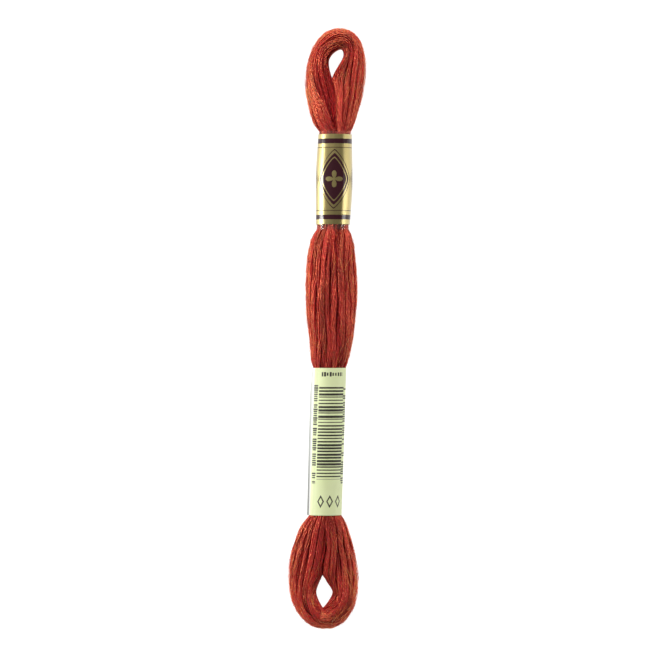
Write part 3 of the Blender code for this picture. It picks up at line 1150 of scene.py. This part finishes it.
# %% [markdown]
# The sleeve is rolled, and the faces of its clear ends get the second material: the
# sheet was cut right there, so the ink ends in a clean line.

# %% The film sleeve
FILM_CLEAR_ENDS = (0.85, 25.3)          # mm from the upper end, from and to the ink
FILM_SHEET = {
    "edge_angle": FILM_LAP_ANGLE, "lap": 3.0, "lip": (1.0, 0.0),
    "thickness": 0.08,       # mm, about twice the real film, so that the edge shows
    "play": 0.04, "waves": ((7, 0.05, 0.02), (11, 0.04, -0.05)),
    "columns": 96, "lines": 40, "end_row": 0.05, "cuts": FILM_CLEAR_ENDS}

film_mesh, film_girth = rolled_sheet("film_sleeve", FILM_ROWS, FILM_SHEET)
film_sleeve = add_piece("film_sleeve", film_mesh, "film_band", "film",
                        printed_film(film_girth), clear_ends)
for face in film_mesh.polygons:
    along = FILM_ROWS[0][0] - face.center.y / MM
    face.material_index = 0 if FILM_CLEAR_ENDS[0] < along < FILM_CLEAR_ENDS[1] else 1
give_thickness(film_sleeve, FILM_SHEET["thickness"])

# %% [markdown]
# ## The paper label's print
# The lower sleeve is coated label paper, printed pale yellow green up to a narrow white
# margin and lapped over at the left side, where the cut edge stands off a little. A grey
# band of painted shade runs along that edge. Its print is dark brown: a ladder of bars,
# fine columns beside it, a line of small marks above it and three hollow lozenges below.

# %% Sizes of the label's print
# each line of marks repeats along one way and has a width across the other, in mm:
# way, pitch, seed, start and end; share inked at least and at most; middle across; half
# width at least and at most; and the share of the marks that is left out
PRINT_LINES = (
    ("along", 0.86, 3.5, (5.1, 30.2), (0.26, 0.76), 7.6, (3.7, 3.7), 0.0),
    ("along", 0.58, 2.95, (4.6, 31.4), (0.5, 0.8), 2.75, (0.6, 0.9), 0.15),
    ("along", 0.62, 12.35, (4.6, 31.4), (0.6, 0.6), 12.2, (0.6, 1.1), 0.3),
    ("around", 0.75, 9.5, (4.6, 10.6), (0.55, 0.75), 1.7, (0.4, 0.6), 0.0),
)
MARKS = (5.3, 7.8, 10.3)     # mm round the label, the middles of the hollow lozenges
MARK_DOWN = 36.2             # mm from the upper end
MARK = (0.95, 1.75)          # mm, half the width and height of a mark
MARK_LINE = (0.8, 0.2)       # where its line runs and half its width, in sizes of it
print("lines of marks:", len(PRINT_LINES), "lozenges:", len(MARKS))

# %% [markdown]
# One loop draws all the lines of marks: the number of a step picks a random number, and
# what is left of the step says where its ink ends. So the bars and dashes say nothing.


# %% Where the label is inked
def label_print(node, around, along):
    """1 where the label is inked."""
    ink = 0.0
    for way, pitch, seed, ends, shares, middle, widths, left_out in PRINT_LINES:
        run, cross = (along, around) if way == "along" else (around, along)
        step = node(MATH, (run, pitch), operation="DIVIDE")
        whole = node(MATH, (step,), operation="FLOOR")
        number = node("ShaderNodeTexWhiteNoise", {
            "W": node(MATH, (whole, seed), operation="ADD")}, noise_dimensions="1D")
        rest = node(MATH, (step,), operation="FRACT")
        inked = node(MATH, (rest, node(RANGE, (number, 0.0, 1.0, *shares))),
                     operation="LESS_THAN")
        wide_enough = node(MATH, (
            cross, middle, node(RANGE, (number, 0.0, 1.0, *widths))), operation="COMPARE")
        in_line = node(MATH, (run, (ends[0] + ends[1]) / 2, (ends[1] - ends[0]) / 2),
                       operation="COMPARE")
        mark = node(MATH, (number, left_out), operation="GREATER_THAN")
        for part in (inked, wide_enough, in_line):
            mark = node(MATH, (mark, part), operation="MULTIPLY")
        ink = node(MATH, (ink, mark), operation="MAXIMUM")
    down = node(MATH, (along, MARK_DOWN), operation="SUBTRACT")
    for middle in MARKS:
        across = node(MATH, (around, middle), operation="SUBTRACT")
        size = lozenge_size(node, across, down, MARK)
        line = node(MATH, (size, *MARK_LINE), operation="COMPARE")
        ink = node(MATH, (ink, line), operation="MAXIMUM")
    return ink


print("steps of the ladder:", int((PRINT_LINES[0][3][1] - PRINT_LINES[0][3][0])
                                  / PRINT_LINES[0][1]))

# %% [markdown]
# Coated paper is smooth but not glossy, a little cloudy in its colour, and has a fine grain
# under its coating. Along the lapped cut edge a grey band of painted shade darkens the
# colour, more so downwards, and a soft band of painted shade runs beside it where a crease
# would be.

# %% Label paper
PAPERS = ("#E9F3B4", "#F2FAC8")
MARGIN = "#F2F4EE"
INK = "#1C0C12"
INK_COVER = 0.97             # how much of the paper the ink hides
CLOUD = 4.0                  # mm of a cloud in the green
GRAIN = 1 / 3                # mm; a real grain is several times finer and doesn't show
GRAIN_DEPTH = 0.01           # mm
MARGIN_WIDTH = (1.95, 2.15)  # mm, the soft edge of the green
MARGIN_SLANT = 0.018         # mm a mm that the margin narrows downwards
EDGE_SHADE_REACH = (0.6, 1.0)          # mm from the cut edge, the soft end of the painted edge shade
EDGE_SHADE_DOWNWARDS = (0.0, 40.0, 0.15, 0.75)   # from mm down, to how dark the painted edge shade is
PAINTED_CREASE_PLACE = 3.0           # mm from the cut edge to the middle of the painted crease shade
CREASE_PAINTED_SHADES = (0.1, 0.7, 0.92, 1.0)   # from mm beside the crease, to how light its painted shade leaves the paper


def label_paper():
    material, node = new_material("coated_label_paper")
    sheet, around, along = uv_place(node)
    cloud = node(NOISE, {"Vector": sheet, "Scale": 1 / CLOUD, "Detail": 3.0})
    green = node(MIX, {
        0: cloud, 6: linear(PAPERS[0]), 7: linear(PAPERS[1])}, data_type="RGBA")
    slanted = node(MATH, (along, MARGIN_SLANT, around), operation="MULTIPLY_ADD")
    paper = node(MIX, {
        0: node(RANGE, (slanted, *MARGIN_WIDTH)), 6: linear(MARGIN), 7: green},
        data_type="RGBA")
    ink = label_print(node, around, along)
    colour = node(MIX, {
        0: node(MATH, (ink, INK_COVER), operation="MULTIPLY"),
        6: paper, 7: linear(INK)}, data_type="RGBA")
    # painted shade along the lapped cut edge, darker downwards
    grey = node(MATH, (
        node(RANGE, (around, *EDGE_SHADE_REACH, 1.0, 0.0)), node(RANGE, (along, *EDGE_SHADE_DOWNWARDS))),
        operation="MULTIPLY")
    unshaded = node(MATH, (1.0, grey), operation="SUBTRACT")
    # a soft band of painted shade where a crease would be
    beside = node(MATH, (around, PAINTED_CREASE_PLACE), operation="SUBTRACT")
    crease = node(RANGE, (
        node(MATH, (beside,), operation="ABSOLUTE"), *CREASE_PAINTED_SHADES),
        interpolation_type="SMOOTHSTEP")
    # both painted shades darken the paper's colour
    colour = node("ShaderNodeVectorMath", {
        0: colour, "Scale": node(MATH, (unshaded, crease), operation="MULTIPLY")},
        operation="SCALE")
    grain = node(NOISE, {"Vector": sheet, "Scale": 1 / GRAIN, "Detail": 4.0})
    shader = node(SHADER, {
        "Base Color": colour, "Roughness": 0.5, "IOR": 1.5,
        "Normal": node("ShaderNodeBump", {
            "Height": grain, "Distance": GRAIN_DEPTH * MM, "Strength": 0.5})})
    node("ShaderNodeOutputMaterial", (shader,))
    return material


coated_paper = label_paper()
print("material:", coated_paper.name)

# %% [markdown]
# The label is rolled as the film is, with its outer edge at the left side instead of
# underneath, and that edge stands off the skein a little.

# %% The paper label
LABEL_SHEET = {
    "edge_angle": -84.0, "lap": 5.0, "lip": (1.5, 0.33), "thickness": 0.12,
    "play": 0.05, "waves": ((5, 0.08, 0.03), (9, 0.05, -0.02)),
    "columns": 96, "lines": 48, "end_row": 0.06, "cuts": ()}

label_mesh, _ = rolled_sheet("paper_sleeve", LABEL_ROWS, LABEL_SHEET)
paper_sleeve = add_piece("paper_sleeve", label_mesh, "paper_label", "paper",
                         coated_paper)
give_thickness(paper_sleeve, LABEL_SHEET["thickness"])

# %% [markdown]
# ## The stage
# The skein lies on a white light table: the ground is pure white right up to its edge
# and throws no shadow. A white board under strong lamps would come near, but would
# need more light than the skein can take. So the table's opal top glows by itself.

# %% The light table
TABLE_SIDE = 4000.0          # mm
TABLE_DROP = 0.05            # mm under the skein, so that the two don't touch


def light_table():
    material, node = new_material("opal_light_table")
    shader = node(SHADER, {
        "Base Color": linear("#808080"), "Roughness": 0.9,
        "Emission Color": linear("#FFFFFF"), "Emission Strength": 1.0})
    node("ShaderNodeOutputMaterial", (shader,))
    return material


builder = bmesh.new()
bmesh.ops.create_grid(builder, x_segments=1, y_segments=1, size=TABLE_SIDE / 2 * MM)
floor_mesh = bpy.data.meshes.new("floor")
builder.to_mesh(floor_mesh)
builder.free()
floor = bpy.data.objects.new("floor", floor_mesh)
floor.location.z = -TABLE_DROP * MM
floor_mesh.materials.append(light_table())
bpy.context.collection.objects.link(floor)
print("table:", TABLE_SIDE, "mm square")

# %% [markdown]
# Three soft lights: a narrow upright one at the left, which gives the bright left flank,
# a large square one high past the skein's head, which shines on the upper loop, and
# another narrow upright one at the right for a thin rim there. The table hides the lower
# half of the upright ones, so their light comes in low. Hard lights would put a glint on
# every strand.

# %% Soft lights
# name, place in mm, width and height in mm, and power in watts
LIGHTS = (
    ("light_left", (-640, 60, 40), (70, 450), 2.9),
    ("light_head", (-60, 680, 570), (600, 600), 6.4),
    ("light_right", (640, 0, 30), (50, 800), 1.4),
)

for name, place, size, watts in LIGHTS:
    lamp = bpy.data.lights.new(name, "AREA")
    lamp.shape = "RECTANGLE"
    lamp.size, lamp.size_y = size[0] * MM, size[1] * MM
    lamp.energy = watts
    lamp_object = bpy.data.objects.new(name, lamp)
    lamp_object.location = Vector(place) * MM
    lamp_object.rotation_euler = (-Vector(place)).to_track_quat("-Z", "Y").to_euler()
    bpy.context.collection.objects.link(lamp_object)
print("lights:", len(bpy.data.lights))

# %% [markdown]
# The rest of the light is the room's: white walls, lit from the left and darker
# towards the right and towards the ceiling. It is a plain colour whose strength fades
# with the direction, where a photograph of a room would bring things to mirror.

# %% The room
ROOM_LIGHT = 0.28            # strength towards the wall straight behind the skein's head
ROOM_FADING = 0.6            # how much it fades from left to right, as a power of e
CEILING_FADING = 0.5         # the same from the walls to the ceiling


def studio_world():
    world = bpy.data.worlds.new("studio")
    world.use_nodes = True
    world.node_tree.nodes.clear()
    node = partial(add_node, world.node_tree)
    place = node("ShaderNodeTexCoord")
    parts = node("ShaderNodeSeparateXYZ", (place.outputs["Generated"],))
    up = node(MATH, (parts.outputs["Z"], -CEILING_FADING), operation="MULTIPLY")
    fading = node(MATH, (parts.outputs["X"], -ROOM_FADING, up), operation="MULTIPLY_ADD")
    share = node(MATH, (fading,), operation="EXPONENT")
    background = node("ShaderNodeBackground", {
        "Color": linear("#FFFFFF"),
        "Strength": node(MATH, (share, ROOM_LIGHT), operation="MULTIPLY")})
    node("ShaderNodeOutputWorld", (background,))
    return world


bpy.context.scene.world = studio_world()
bpy.context.scene.view_settings.view_transform = "Standard"
print("world:", bpy.context.scene.world.name)
